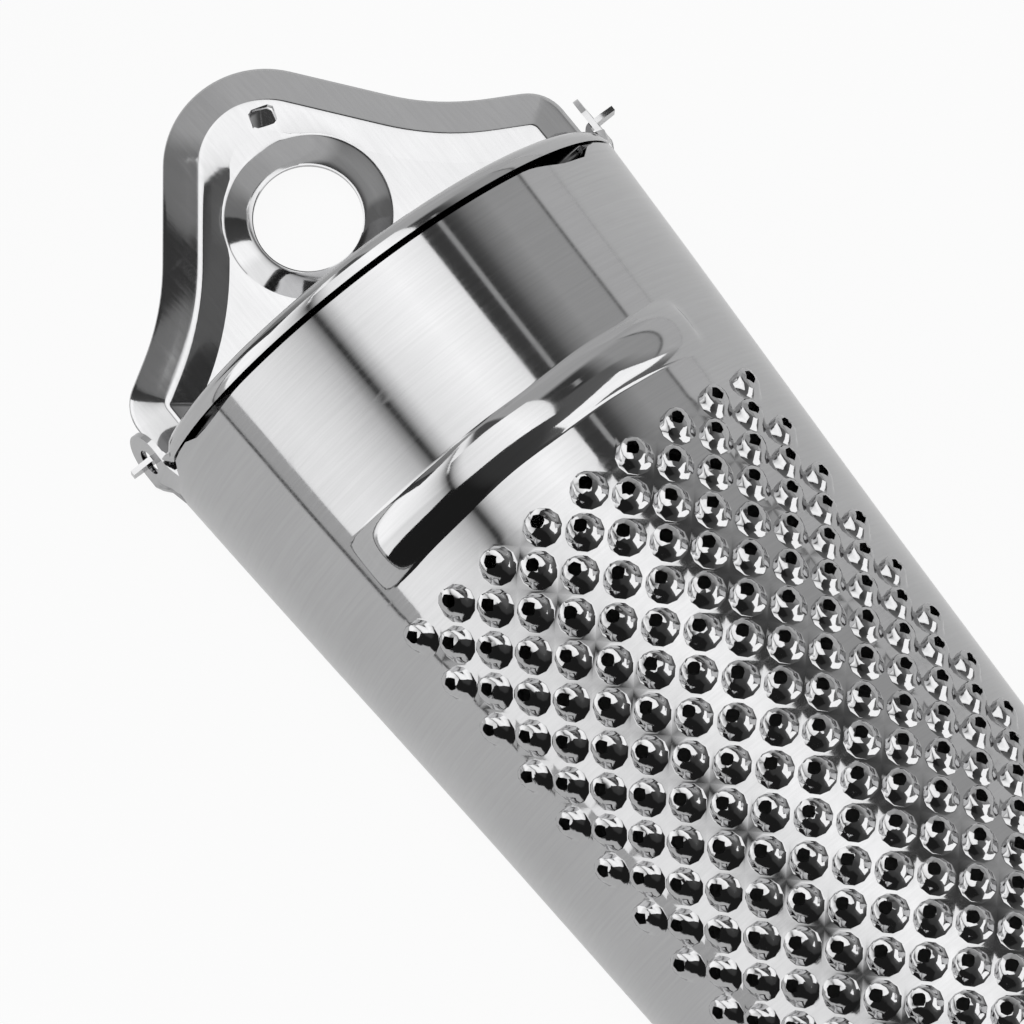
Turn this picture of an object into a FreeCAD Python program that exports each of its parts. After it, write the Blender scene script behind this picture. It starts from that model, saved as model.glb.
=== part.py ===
import FreeCAD, Part
import math
import os

# Hand nutmeg grater pressed from steel sheet, lying on its back.
# +X runs from the hanging tab to the foot, Y across, +Z up to the grating face.
# The origin is the middle of the length, on the resting face.

doc = FreeCAD.newDocument("nutmeg_grater")
sheet = doc.addObject("Spreadsheet::Sheet", "Sizes")

# Driving sizes in millimetres, angles in degrees, and counts.
# A "Drop" is measured from the top face of the closed lid towards the foot,
# a "Rise" from the same face towards the tip of the tab.
sizes = {
    "wall": 0.4,
    "mouthRadius": 19.5,
    "footRadius": 14.0,
    "centreHeight": 1.6,
    "footDrop": 117.1,
    "rimDrop": 1.75,
    "lipWidth": 2.4,
    "notchDepth": 1.2,
    "notchStart": 41.0,
    "notchEnd": 64.0,
    "lugRadius": 2.2,
    "lugSpread": 0.55,
    "lugRoot": 1.1,
    "pivotRise": 0.85,
    "pivotHeight": 2.9,
    "pivotHole": 1.45,
    "ribDrop": 16.8,
    "ribHeight": 0.9,
    "ribRadius": 2.2,
    "ribHalfAngle": 40.0,
    "firstRowDrop": 22.4,
    "lastRowDrop": 111.5,
    "rowPitch": 2.07,
    "columnPitch": 2.0,
    "columnsEachSide": 8,
    "toothBase": 0.95,
    "toothRoot": 0.15,
    "toothTop": 0.68,
    "toothHeight": 1.0,
    "toothHole": 0.48,
    "tabRise": 20.9,
    "tabHalfWidth": 19.2,
    "tabEndDrop": 1.4,
    "tipRadius": 7.4,
    "flankAngle": 52.0,
    "flankLength": 7.3,
    "waistRadius": 20.0,
    "shoulderAngle": 31.0,
    "cornerRadius": 3.2,
    "borderWidth": 2.1,
    "crestWidth": 0.5,
    "crestHeight": 1.3,
    "dishSlope": 1.9,
    "dishFall": 0.27,
    "dishHalfWidth": 16.2,
    "plateDrop": 20.5,
    "hangRise": 8.7,
    "hangHole": 3.95,
    "hangFlare": 6.1,
    "hangCollar": 2.0,
    "markRise": 16.4,
    "markOffset": 1.95,
    "markLength": 1.5,
    "markWidth": 1.9,
    "markDepth": 0.15,
    "skirtDepth": 1.5,
    "skirtStart": 5.35,
    "earWidth": 2.3,
    "earReach": 1.3,
    "floorSkirt": 2.4,
    "fitGap": 0.1,
    "runGap": 0.3,
}

for row, (alias, value) in enumerate(sizes.items(), start=1):
    sheet.set("A%d" % row, alias)
    sheet.set("B%d" % row, str(value))
    sheet.setAlias("B%d" % row, alias)
doc.recompute()


def size(alias):
    return float(getattr(sheet, alias))


def cells(formula):
    """Write a formula for the expression engine; $ stands before each name from the sheet."""
    return formula.replace("$", "<<Sizes>>.")


def primitive(kind, name, place, turn=None, **dimensions):
    """Add a Part primitive whose place and dimensions follow the sheet."""
    item = doc.addObject("Part::" + kind, name)
    if turn is not None:
        item.Placement.Rotation = turn
    for axis, formula in zip("xyz", place):
        item.setExpression("Placement.Base." + axis, cells(formula))
    for dimension, formula in dimensions.items():
        item.setExpression(dimension, cells(formula))
    return item


def cut(name, base, tool):
    item = doc.addObject("Part::Cut", name)
    item.Base = base
    item.Tool = tool
    return item


def fuse(name, *shapes):
    item = doc.addObject("Part::MultiFuse", name)
    item.Shapes = shapes
    return item


def common(name, *shapes):
    item = doc.addObject("Part::MultiCommon", name)
    item.Shapes = shapes
    return item


def feature(name, shape):
    item = doc.addObject("Part::Feature", name)
    item.Shape = shape
    return item


# Places and radii that several sub-parts share, as formulas of the sheet.
lidTop = "($tabRise - $footDrop) / 2"
rimX = lidTop + " + $rimDrop"
pivotX = lidTop + " - $pivotRise"
ribX = lidTop + " + $ribDrop"
slope = "($mouthRadius - $footRadius) / $footDrop"
rimRadius = "$mouthRadius - $rimDrop * " + slope
ribWallRadius = "$mouthRadius - $ribDrop * " + slope
ribRing = ribWallRadius + " + $ribHeight - $ribRadius"
lugFace = rimRadius + " + $lugSpread"
hingeHalfWidth = lugFace + " - $wall - $runGap"
plateTop = "2 * $wall"

# The same start of the drops as a number, for the shapes that are worked out point by point.
lidTopX = (size("tabRise") - size("footDrop")) / 2
taper = (size("mouthRadius") - size("footRadius")) / size("footDrop")

xAxis = FreeCAD.Vector(1, 0, 0)
alongX = FreeCAD.Rotation(FreeCAD.Vector(0, 1, 0), 90)
alongY = FreeCAD.Rotation(xAxis, -90)


def aroundX(start):
    """Turn a round primitive along X, its sweep starting at an angle from +Z towards +Y."""
    return alongX * FreeCAD.Rotation(FreeCAD.Vector(0, 0, 1), 180 - start)


def radiusAt(drop):
    return size("mouthRadius") - taper * drop


def drum(name, x, firstRadius, lastRadius, height):
    """A round taper along X on the centre line of the shell."""
    return primitive("Cone", name, (x, "0", "$centreHeight"), alongX,
                     Radius1=firstRadius, Radius2=lastRadius, Height=height)


def block(name, corner, length, width, height):
    return primitive("Box", name, corner, Length=length, Width=width, Height=height)


def bead(name, ringRadius, beadRadius):
    """A round bead across the grating side at the rib, with round ends."""
    half = size("ribHalfAngle")
    ring = primitive("Torus", name + "Ring", (ribX, "0", "$centreHeight"), aroundX(half),
                     Radius1=ringRadius, Radius2=beadRadius, Angle3="2 * $ribHalfAngle")
    ends = []
    for side, sign in (("Left", "-"), ("Right", "")):
        y = "%s(%s) * sin($ribHalfAngle)" % (sign, ringRadius)
        z = "$centreHeight + (%s) * cos($ribHalfAngle)" % ringRadius
        ends.append(primitive("Sphere", name + side, (ribX, y, z), Radius=beadRadius))
    return fuse(name, ring, *ends)


def toothRows():
    return int((size("lastRowDrop") - size("firstRowDrop")) / size("rowPitch")) + 1


def makeTooth(seat, outward):
    """A blunt cone on a short round root that reaches into the sheet."""
    root = size("toothRoot")
    profile = [(0, -size("wall") / 2), (size("toothBase"), -size("wall") / 2),
               (size("toothBase"), root), (size("toothTop"), size("toothHeight")),
               (0, size("toothHeight"))]
    corners = [seat + xAxis * radius + outward * height for radius, height in profile]
    face = Part.Face(Part.makePolygon(corners + corners[:1]))
    return face.revolve(seat, outward, 360)


def makeToothedRow(rowIndex):
    """A ring of the shell with one row of raised, pierced teeth; every other row is staggered."""
    wall = size("wall")
    pitch = size("rowPitch")
    drop = size("firstRowDrop") + rowIndex * pitch
    radius = radiusAt(drop)
    start = FreeCAD.Vector(lidTopX + drop - pitch / 2, 0, size("centreHeight"))
    nearRadius = radiusAt(drop - pitch / 2)
    farRadius = radiusAt(drop + pitch / 2)
    ring = Part.makeCone(nearRadius, farRadius, pitch, start, xAxis)
    ring = ring.cut(Part.makeCone(nearRadius - wall, farRadius - wall, pitch, start, xAxis))
    above = Part.makeBox(pitch, 2 * nearRadius, 2 * nearRadius,
                         FreeCAD.Vector(start.x, -nearRadius, 0))
    seat = start + xAxis * (pitch / 2)
    each = int(size("columnsEachSide"))
    teeth = []
    holes = []
    for column in range(-each + rowIndex % 2, each + 1, 2):
        angle = column * size("columnPitch") / radius
        outward = FreeCAD.Vector(0, math.sin(angle), math.cos(angle))
        teeth.append(makeTooth(seat + outward * radius, outward))
        holes.append(Part.makeCylinder(size("toothHole"), size("toothHeight") + 3 * wall,
                                       seat + outward * (radius - 2 * wall), outward))
    return ring.common(above).fuse(teeth).cut(holes)


def makeToothedBand():
    """All rows joined two by two, which is far quicker than one after the other."""
    bands = [makeToothedRow(rowIndex) for rowIndex in range(toothRows())]
    while len(bands) > 1:
        pairs = [first.fuse(second) for first, second in zip(bands[::2], bands[1::2])]
        bands = pairs + bands[2 * len(pairs):]
    return bands[0].removeSplitter()


def makeLug(side, sign):
    """One hinge lug beside the mouth, spread outwards to clear the tab, and its hole."""
    root = "%s(%s)" % (sign, rimRadius)
    inner = "%s(%s - $wall)" % (sign, lugFace)
    outer = "%s(%s)" % (sign, lugFace)
    low = inner if sign == "" else outer
    rootLow = "%s - $wall" % root if sign == "" else outer
    lowZ = "$pivotHeight - $lugRadius"
    plate = block("lugPlate" + side, (pivotX, low, lowZ),
                  "$pivotRise + $rimDrop + $lugRoot", "$wall", "2 * $lugRadius")
    crown = primitive("Cylinder", "lugCrown" + side, (pivotX, low, "$pivotHeight"), alongY,
                      Radius="$lugRadius", Height="$wall")
    joggle = block("lugJoggle" + side, (rimX, rootLow, lowZ),
                   "$lugRoot", "$lugSpread + $wall", "2 * $lugRadius")
    hole = primitive("Cylinder", "lugHole" + side, (pivotX, rootLow, "$pivotHeight"), alongY,
                     Radius="$pivotHole", Height="$lugSpread + $wall")
    return [plate, crown, joggle], hole


def makeNotch(side, start):
    """A relief in the rim, where a finger nail reaches the lid."""
    return primitive("Cylinder", "notch" + side, (rimX, "0", "$centreHeight"), aroundX(start),
                     Radius="$mouthRadius + $ribHeight", Height="$notchDepth",
                     Angle="$notchEnd - $notchStart")


def shellStretch(name, startDrop, endDrop):
    """A stretch of the tapered half-round shell, named by its drops."""
    x = "%s + %s" % (lidTop, startDrop)
    run = "(%s) - (%s)" % (endDrop, startDrop)
    radii = ["$mouthRadius - (%s) * %s" % (drop, slope) for drop in (startDrop, endDrop)]
    outer = drum(name + "Outer", x, radii[0], radii[1], run)
    inner = drum(name + "Inner", x, radii[0] + " - $wall", radii[1] + " - $wall", run)
    above = block(name + "Above", (x, "-$mouthRadius", "0"),
                  run, "2 * $mouthRadius", "2 * $mouthRadius")
    return common(name, cut(name + "Tube", outer, inner), above)


def makeLips():
    """Flat lips turned in along both back edges."""
    run = "$footDrop - $rimDrop"
    inset = " - $wall - $lipWidth"
    outer = drum("lipOuter", rimX, rimRadius, "$footRadius", run)
    between = drum("betweenLips", rimX, rimRadius + inset, "$footRadius" + inset, run)
    layer = block("lipLayer", (rimX, "-$mouthRadius", "0"), run, "2 * $mouthRadius", "$wall")
    return common("lips", cut("lipBand", outer, between), layer)


def makeRib():
    """The raised side of the rib; its inner side would close off the groove."""
    radii = ["%s %s $ribRadius * %s - $wall / 2" % (ribWallRadius, sign, slope) for sign in "+-"]
    inside = drum("ribInside", ribX + " - $ribRadius", radii[0], radii[1], "2 * $ribRadius")
    return cut("rib", bead("ribBead", ribRing, "$ribRadius"), inside)


def makeGraterBody():
    bandStart = "$firstRowDrop - $rowPitch / 2"
    rowSteps = "floor(($lastRowDrop - $firstRowDrop) / $rowPitch)"
    bandEnd = "$firstRowDrop + (%s + 0.5) * $rowPitch" % rowSteps
    lugs = []
    openings = [bead("ribGroove", ribRing, "$ribRadius - $wall"),
                makeNotch("Right", size("notchEnd")), makeNotch("Left", -size("notchStart"))]
    for side, sign in (("Left", "-"), ("Right", "")):
        pieces, hole = makeLug(side, sign)
        lugs += pieces
        openings.append(hole)
    mouth = fuse("mouthRaised", shellStretch("mouthShell", "$rimDrop", bandStart),
                 makeRib(), *lugs)
    formedMouth = cut("formedMouth", mouth, fuse("mouthOpenings", *openings))
    return fuse("grater_body", formedMouth, feature("toothedBand", makeToothedBand()),
                shellStretch("footShell", bandEnd, "$footDrop"), makeLips())


def tabPoint(y, rise, z):
    return FreeCAD.Vector(lidTopX - rise, y, z)


def mirrored(points):
    return [FreeCAD.Vector(point.x, -point.y, point.z) for point in points]


def outlineWire(edges):
    """Close the right half of an outline with its mirror image and a straight end."""
    half = []
    other = []
    for points in edges:
        back = mirrored(points)[::-1]
        if len(points) == 3:
            half.append(Part.Arc(*points).toShape())
            other.insert(0, Part.Arc(*back).toShape())
        else:
            half.append(Part.makeLine(*points))
            other.insert(0, Part.makeLine(*back))
    end = edges[-1][-1]
    foot = Part.makeLine(end, FreeCAD.Vector(end.x, -end.y, end.z))
    return Part.Wire(half + [foot] + other)


def arcPoints(centreY, centreRise, radius, startAngle, endAngle, z):
    """Three points of an arc, its angles measured from the tip's direction."""
    points = []
    for angle in (startAngle, (startAngle + endAngle) / 2, endAngle):
        turn = math.radians(angle)
        points.append(tabPoint(centreY + radius * math.sin(turn),
                               centreRise + radius * math.cos(turn), z))
    return points


def tabOutline(inset, z):
    """The tab seen from above: round tip, straight flank, hollow waist and round corner."""
    flank = size("flankAngle")
    shoulder = size("shoulderAngle")
    tip = arcPoints(0, size("tabRise") - size("tipRadius"), size("tipRadius") - inset, 0, flank, z)
    along = size("flankLength")
    turn = math.radians(flank)
    waistStart = tip[2] + FreeCAD.Vector(math.sin(turn) * along, math.cos(turn) * along, 0)
    hollow = size("waistRadius") + inset
    waist = arcPoints(waistStart.y + hollow * math.sin(turn),
                      lidTopX - waistStart.x + hollow * math.cos(turn),
                      hollow, flank + 180, shoulder + 180, z)
    rounding = size("cornerRadius") - inset
    cornerY = size("tabHalfWidth") - size("cornerRadius")
    shoulderTurn = math.radians(shoulder)
    shoulderY = cornerY + rounding * math.sin(shoulderTurn)
    fall = (shoulderY - waist[2].y) * math.tan(shoulderTurn)
    cornerRise = lidTopX - waist[2].x - fall - rounding * math.cos(shoulderTurn)
    corner = arcPoints(cornerY, cornerRise, rounding, shoulder, 90, z)
    end = tabPoint(corner[2].y, -size("tabEndDrop"), z)
    return outlineWire([tip, [tip[2], waistStart], waist, [waist[2], corner[0]], corner,
                        [corner[2], end]])


def dishOutline(inset, z):
    """The sunk middle of the tab, open towards the mouth."""
    flank = size("flankAngle")
    radius = size("tipRadius") - size("borderWidth") - size("crestWidth") - inset
    tip = arcPoints(0, size("tabRise") - size("tipRadius"), radius, 0, flank, z)
    halfWidth = size("dishHalfWidth") - inset
    fall = (halfWidth - tip[2].y) * math.tan(math.radians(flank))
    knee = tabPoint(halfWidth, lidTopX - tip[2].x - fall, z)
    end = tabPoint(halfWidth, -size("tabEndDrop"), z)
    return outlineWire([tip, [tip[2], knee], [knee, end]])


def polygonPlate(points, bottom, thickness):
    face = Part.Face(Part.makePolygon(points + points[:1]))
    face.translate(FreeCAD.Vector(0, 0, bottom))
    return face.extrude(FreeCAD.Vector(0, 0, thickness))


def panelHeight(rise):
    """The sunk middle of the tab falls a little from the tip to the mouth."""
    tipEnd = size("tabRise") - size("borderWidth") - size("crestWidth") - size("dishSlope")
    share = (rise + size("tabEndDrop")) / (tipEnd + size("tabEndDrop"))
    return 2 * size("wall") + size("dishFall") * share


def makeHangerPlate():
    wall = size("wall")
    top = 2 * wall
    hill = Part.makeLoft([tabOutline(0, 0), tabOutline(size("borderWidth"), size("crestHeight"))],
                         True, True)
    panel = dishOutline(size("dishSlope"), top)
    fall = math.degrees(math.atan(panelHeight(1) - panelHeight(0)))
    panel.rotate(tabPoint(0, -size("tabEndDrop"), top), FreeCAD.Vector(0, 1, 0), fall)
    dish = Part.makeLoft([panel, dishOutline(0, size("crestHeight"))], True, True)
    raised = hill.cut(dish)
    tab = raised.cut(raised.translated(FreeCAD.Vector(0, 0, -wall)))
    innerHalf = size("dishHalfWidth") - size("dishSlope")
    plateHalves = [(-size("tabEndDrop") + wall, innerHalf), (-size("tabEndDrop"), innerHalf)]
    for drop in (size("tabEndDrop"), size("plateDrop")):
        plateHalves.append((-drop, radiusAt(drop) - wall - size("fitGap")))
    right = [tabPoint(half, rise, 0) for rise, half in plateHalves]
    plate = polygonPlate(right + mirrored(right)[::-1], wall, wall)

    # the hanging hole's collar rises out of the panel, and its foot overlaps the sheet
    hangCentre = tabPoint(0, size("hangRise"), 0)
    hole = size("hangHole")
    flare = size("hangFlare")
    collar = size("hangCollar")
    foot = panelHeight(size("hangRise"))
    opening = Part.makeCylinder(flare - wall / 2, foot + size("crestHeight"), hangCentre)
    profile = [(flare, foot), (hole, collar), (hole, collar - wall), (flare, foot - wall)]
    section = Part.makePolygon([hangCentre + FreeCAD.Vector(radius, 0, z)
                                for radius, z in profile + profile[:1]])
    collarRing = Part.Face(section).revolve(hangCentre, FreeCAD.Vector(0, 0, 1), 360)
    markCorner = tabPoint(size("markOffset") - size("markWidth") / 2,
                          size("markRise") + size("markLength") / 2,
                          panelHeight(size("markRise")) - size("markDepth"))
    mark = Part.makeBox(size("markLength"), size("markWidth"), size("crestHeight"), markCorner)
    shape = tab.fuse(plate).cut(opening).fuse(collarRing).cut(mark).removeSplitter()
    return feature("hanger_plate", shape)


def makeCompartmentFloor():
    floorX = ribX + " - $wall / 2"
    gap = " - $wall - $fitGap"
    end = "$mouthRadius - ($ribDrop + $floorSkirt) * " + slope
    outer = drum("floorOuter", floorX, ribWallRadius + gap, end + gap, "$floorSkirt")
    inner = drum("floorInner", floorX + " + $wall", ribWallRadius + gap + " - $wall",
                 end + gap + " - $wall", "$floorSkirt - $wall")
    cup = fuse("floorCup", cut("floorSheet", outer, inner),
               bead("floorBead", ribRing, "$ribRadius - $wall - $runGap"))
    above = block("aboveHangerPlate", (floorX + " - $ribRadius", "-$mouthRadius",
                                       plateTop + " + $fitGap"),
                  "$floorSkirt + 2 * $ribRadius", "2 * $mouthRadius", "2 * $mouthRadius")
    return common("compartment_floor", cup, above)


def makeFlipLid():
    outer = drum("lidOuter", lidTop, "$mouthRadius", "$mouthRadius", "$skirtDepth")
    inner = drum("lidInner", lidTop + " + $wall", "$mouthRadius - $wall", "$mouthRadius - $wall",
                 "$skirtDepth - $wall")
    skirtSide = block("skirtSide", (lidTop, "-$mouthRadius", "$skirtStart"),
                      "$skirtDepth", "2 * $mouthRadius", "2 * $mouthRadius")
    cap = common("lidCap", cut("lidSheet", outer, inner), skirtSide)
    disc = drum("lidDisc", lidTop, "$mouthRadius", "$mouthRadius", "$wall")
    hingeSide = block("hingeSide", (lidTop, "-(%s)" % hingeHalfWidth, "$crestHeight + $runGap"),
                      "$wall", "2 * (%s)" % hingeHalfWidth,
                      "$skirtStart + $wall - $crestHeight - $runGap")
    pieces = [cap, common("lidHeel", disc, hingeSide)]
    lowZ = "$pivotHeight - $earWidth / 2"
    earX = pivotX + " - $wall / 2"
    earLength = "%s + $earReach - (%s) + $wall" % (lugFace, hingeHalfWidth)
    for side, riserY, earY in (
            ("Right", hingeHalfWidth + " - $wall", hingeHalfWidth + " - $wall"),
            ("Left", "-(%s)" % hingeHalfWidth, "-(%s + $earReach)" % lugFace)):
        pieces.append(block("riser" + side, (earX, riserY, lowZ),
                            "$pivotRise + 1.5 * $wall", "$wall", "$earWidth"))
        pieces.append(block("ear" + side, (earX, earY, lowZ), "$wall", earLength, "$earWidth"))
    return fuse("flip_lid", *pieces)


parts = [makeGraterBody(), makeHangerPlate(), makeCompartmentFloor(), makeFlipLid()]
doc.recompute()

for item in doc.Objects:
    if "Invalid" in item.State or "Error" in item.State:
        raise SystemExit("%s failed: %s" % (item.Name, item.State))

os.makedirs("parts", exist_ok=True)
for item in parts:
    if item.Shape.isNull() or not item.Shape.isValid():
        raise SystemExit("%s has no valid shape" % item.Label)
    item.Shape.exportStep("parts/%s.step" % item.Label)
    box = item.Shape.BoundBox
    print("%s: %d solid(s), %.1f mm3, x %.2f..%.2f y %.2f..%.2f z %.2f..%.2f" % (
        item.Label, len(item.Shape.Solids), item.Shape.Volume,
        box.XMin, box.XMax, box.YMin, box.YMax, box.ZMin, box.ZMax))
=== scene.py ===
from math import acos, atan2, cos, degrees, hypot, pi, radians, sin, sqrt, tan

import bmesh
import bpy
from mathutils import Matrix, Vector


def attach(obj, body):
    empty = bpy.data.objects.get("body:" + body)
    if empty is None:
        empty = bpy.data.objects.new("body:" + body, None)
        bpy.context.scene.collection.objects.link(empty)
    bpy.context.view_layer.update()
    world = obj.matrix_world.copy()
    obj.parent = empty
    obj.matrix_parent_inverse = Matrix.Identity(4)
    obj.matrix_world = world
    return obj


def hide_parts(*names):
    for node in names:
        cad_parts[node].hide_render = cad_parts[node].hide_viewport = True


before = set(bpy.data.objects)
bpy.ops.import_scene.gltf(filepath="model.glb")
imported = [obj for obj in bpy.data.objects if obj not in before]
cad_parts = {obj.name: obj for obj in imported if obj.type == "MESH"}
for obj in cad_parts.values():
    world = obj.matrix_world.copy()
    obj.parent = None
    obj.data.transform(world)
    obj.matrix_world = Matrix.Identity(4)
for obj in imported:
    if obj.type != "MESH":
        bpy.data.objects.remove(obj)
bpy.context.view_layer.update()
print("frame loaded:", sorted(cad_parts))

mm = 0.001  # all the sizes below are in millimetres and degrees
weldGap = 0.003 * mm  # corners nearer than this become one

# The tapered half-round sheet. A drop is measured from the lid's top face towards the foot.
sheetSizes = {
    "lidTop": -48.1,
    "centreHeight": 1.6,
    "mouthRadius": 19.5,
    "footRadius": 14.0,
    "footDrop": 117.1,
    "rimDrop": 1.75,
    "wall": 0.4,
    "lipWidth": 2.4,
    "lipBend": 0.8,
    "lipEdge": 0.8,
    "notchStarts": (50.0, 41.0),
    "notchEnds": (64.0, 58.0),
    "notchDepths": (0.25, 0.68),
    "shoulderRise": 0.3,
    "notchBlend": 7.0,
    "shoulderStart": (2.5, 1.5),
    "shoulderEnd": (75.0, 79.0),
    "notchFade": 5.2,
    "ribDrop": 16.6,
    "ribHalfWidth": 2.0,
    "ribWidening": 0.28,
    "ribShift": 0.15,
    "ribHeight": 0.83,
    "ribHalfAngle": 40.0,
    "ribFade": 2.2,
    "ribWander": 0.07,
    "ribUneven": 0.035,
    "wanderWave": (0.62, 0.7),
    "unevenWave": (0.95, 2.0),
    "rowBend": 5.0,
    "sideWidening": (0.026, 0.012),
    "wideningDrops": (8.0, 40.0),
    "lidShift": -0.28,
    "rimShift": -0.1,
    "rimFade": 9.0,
    "skew": 0.024,
    "shiftedHeights": (4.8, 7.0),
    "shiftedCorners": (14.5, 18.8),
}
lidTop = sheetSizes["lidTop"]
wall = sheetSizes["wall"]
centreHeight = sheetSizes["centreHeight"]
mouthRadius = sheetSizes["mouthRadius"]
rimDrop = sheetSizes["rimDrop"]
taper = (mouthRadius - sheetSizes["footRadius"]) / sheetSizes["footDrop"]
ribStart = sheetSizes["ribDrop"] - sheetSizes["ribHalfWidth"]
ribStop = sheetSizes["ribDrop"] + sheetSizes["ribHalfWidth"]

gratingSizes = {
    "firstDrop": 22.82,
    "rows": 44,
    "rowPitch": 2.07,
    "columnsEachSide": 8,
    "columnPitch": 2.03,
    "raggedness": 0.045,
    "heightChange": 0.16,
    "seed": 4,
    "unevenScale": 260.0,
}
firstDrop = gratingSizes["firstDrop"]
rowPitch = gratingSizes["rowPitch"]
columnPitch = gratingSizes["columnPitch"]
gratingEdge = columnPitch * (gratingSizes["columnsEachSide"] + 1)
gratingStart = firstDrop - rowPitch
gratingEnd = firstDrop + gratingSizes["rows"] * rowPitch

# One tooth from its foot to the torn edge of its hole: radius and height of each ring.
toothSizes = {
    "outside": [(1.42, 0.0), (1.35, 0.006), (1.1, 0.34), (0.93, 0.59), (0.76, 0.68)],
    "edge": (0.46, 0.73),
    "inside": [(0.98, -0.36)],
    "lean": 0.42,
    "cornerFall": 0.06,
    "cornerReach": 0.05,
    "petalRise": 0.05,
    "tornFrom": 0.85,
}

lugSizes = {
    "radius": 2.2,
    "spread": 0.4,
    "spreadRun": (1.3, 0.2),
    "lean": 0.22,
    "root": 1.1,
    "pivotRise": 0.85,
    "pivotHeight": 2.9,
    "hole": 0.98,
    "sink": 0.03,
}

segments = 3  # pieces of each side of a tooth's tile
sideSteps, bendSteps = 9, 5  # pieces of each side of the body, and of the bend to its lip
edgeSteps, earSteps = 6, 4  # pieces of the bend at the lid's edge, and at its ears
uvPerMetre, uvPerRadian = 20, 0.4  # of the map that gives the grain its direction


def smoothStep(low, high, value):
    share = min(1.0, max(0.0, (value - low) / (high - low)))
    return share * share * (3 - 2 * share)


def radiusAt(drop):
    return mouthRadius - taper * drop


ribHalfArc = radians(sheetSizes["ribHalfAngle"]) * radiusAt(sheetSizes["ribDrop"])


def onSheet(drop, arc, lift=0.0):
    # A place of the flat sheet, rolled onto the taper. The arc is measured from the ridge.
    angle = arc / radiusAt(drop)
    reach = radiusAt(drop) + lift
    return Vector((lidTop + drop, reach * sin(angle), centreHeight + reach * cos(angle)))


def between(first, second, share):
    return tuple(a + (b - a) * share for a, b in zip(first, second))


def linePoints(first, second, count):
    return [tuple(a + (b - a) * step / count for a, b in zip(first, second))
            for step in range(count + 1)]


def runAt(path, index, scale=1.0):
    # The direction of a path at one of its points.
    before, after = path[max(0, index - 1)], path[min(len(path) - 1, index + 1)]
    return Vector((after[0] - before[0], (after[1] - before[1]) * scale)).normalized()


# A build gathers corners and faces of one piece before they are welded.
def newBuild():
    return {"points": [], "faces": []}


def addFace(build, corners):
    start = len(build["points"])
    build["points"] += corners
    build["faces"].append(tuple(range(start, start + len(corners))))


def addSheet(build, rows):
    # Rows of (outer, inner) places make both faces of a sheet.
    for layer in (0, 1):
        for near, far in zip(rows, rows[1:]):
            for column in range(len(near) - 1):
                addFace(build, [near[column][layer], near[column + 1][layer],
                                far[column + 1][layer], far[column][layer]])


def addEdge(build, pairs):
    for first, second in zip(pairs, pairs[1:]):
        addFace(build, [first[0], second[0], second[1], first[1]])


def addEdgedSheet(build, rows, ends=()):
    # A sheet closed along its first and last rows, and along the given ends of its rows.
    addSheet(build, rows)
    for pairs in [rows[0], rows[-1]] + [[row[end] for row in rows] for end in ends]:
        addEdge(build, pairs)


def toBmesh(build):
    bm = bmesh.new()
    corners = [bm.verts.new(point * mm) for point in build["points"]]
    for face in build["faces"]:
        bm.faces.new([corners[index] for index in face])
    return bm


def addObject(name, data):
    added = bpy.data.objects.new(name, data)
    bpy.context.scene.collection.objects.link(added)
    return added


def toObject(bm, name):
    mesh = bpy.data.meshes.new(name)
    bm.to_mesh(mesh)
    bm.free()
    return addObject(name, mesh)


def takeMesh(changed, *helpers):
    # The mesh that an object's modifiers make of it. The object and its helpers then go.
    graph = bpy.context.evaluated_depsgraph_get()
    mesh = bpy.data.meshes.new_from_object(changed.evaluated_get(graph))
    changed.modifiers.clear()
    for helper in (changed, *helpers):
        bpy.data.objects.remove(helper)
    return mesh


def settle(bm, node):
    # The bent sheet stands a little wider than a circle, and the loose lid sits askew.
    atMouth, atFoot = sheetSizes["sideWidening"]
    for vert in bm.verts:
        drop = vert.co.x / mm - lidTop
        widening = atMouth + (atFoot - atMouth) * smoothStep(*sheetSizes["wideningDrops"], drop)
        share = min(1.0, (vert.co.y / mm / mouthRadius) ** 2)
        vert.co.y *= 1 + widening * share
        high = smoothStep(*sheetSizes["shiftedHeights"], vert.co.z / mm)
        if node == "flip_lid":  # its face stays flat, and only the corners beside the lugs give
            corner = smoothStep(*sheetSizes["shiftedCorners"], abs(vert.co.y) / mm)
            shift = sheetSizes["lidShift"] * mm + sheetSizes["skew"] * vert.co.y
            vert.co.x += shift * (1 - (1 - high) * corner)
        elif node == "grater_body":
            shift = sheetSizes["rimShift"] * mm + sheetSizes["skew"] * vert.co.y
            near = 1 - smoothStep(rimDrop, sheetSizes["rimFade"], drop)
            vert.co.x += shift * near * high


def weld(bm, name, body, node, material, sharpAngle=48.0):
    bmesh.ops.remove_doubles(bm, verts=bm.verts, dist=weldGap)
    bmesh.ops.dissolve_degenerate(bm, edges=bm.edges, dist=0.001 * mm)
    bmesh.ops.recalc_face_normals(bm, faces=bm.faces)
    flat = node == "hanger_plate"
    if not flat:
        settle(bm, node)
    grain = bm.loops.layers.uv.new("grain")
    for face in bm.faces:
        face.smooth = True
        face.material_index = 0
        for loop in face.loops:
            place = loop.vert.co
            across = place.y * uvPerMetre
            if not flat:
                across = atan2(place.y, place.z - centreHeight * mm) * uvPerRadian
            loop[grain].uv = (across, place.x * uvPerMetre)
    for edge in bm.edges:
        if len(edge.link_faces) == 2:
            edge.smooth = edge.calc_face_angle(0) < radians(sharpAngle)
    piece = toObject(bm, name)
    mesh = piece.data
    mesh.materials.append(material)
    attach(piece, body)
    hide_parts(node)
    loose = sum(1 for edge in mesh.edges if edge.is_loose)
    mesh.calc_loop_triangles()
    print("piece:", name, len(mesh.loop_triangles), "triangles,", loose, "loose edges")


# Materials

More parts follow.
